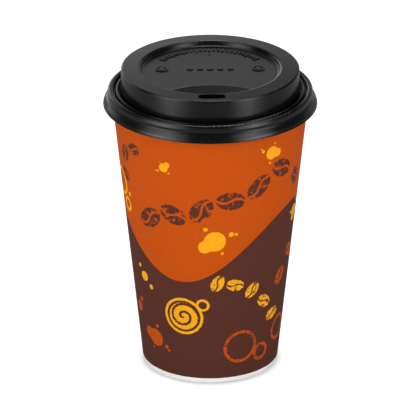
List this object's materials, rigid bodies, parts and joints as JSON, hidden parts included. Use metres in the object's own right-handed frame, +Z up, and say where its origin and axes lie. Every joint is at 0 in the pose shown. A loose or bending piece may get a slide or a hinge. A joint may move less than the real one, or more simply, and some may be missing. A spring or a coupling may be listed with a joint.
{
  "type": "paper coffee cup",
  "caption": "Single-wall paper hot cup with a rolled rim, a folded foot and a push-on plastic lid with a raised ring, a dished well and a sip hole.",
  "frame": {"origin": "centre of the foot on the table", "axes": "+Z up along the cup's axis, the lid's sip hole faces -Y, the wall's seam is at the back"},
  "size_m": [0.0954, 0.0954, 0.1408],
  "materials": {
    "printed_board": "satin print on coated white board",
    "plain_board": "plain white coated board",
    "lid_plastic": "satin black formed sheet"
  },
  "bodies": {
    "cup": {"sidewall": "printed_board", "bottom_disc": "plain_board"},
    "lid": {"lid": "lid_plastic"}
  },
  "joints": [
    {"name": "lid_lift", "type": "slide", "parent": "cup", "child": "lid", "axis": [0, 0, 1], "range_m": [0, 0.04]}
  ]
}
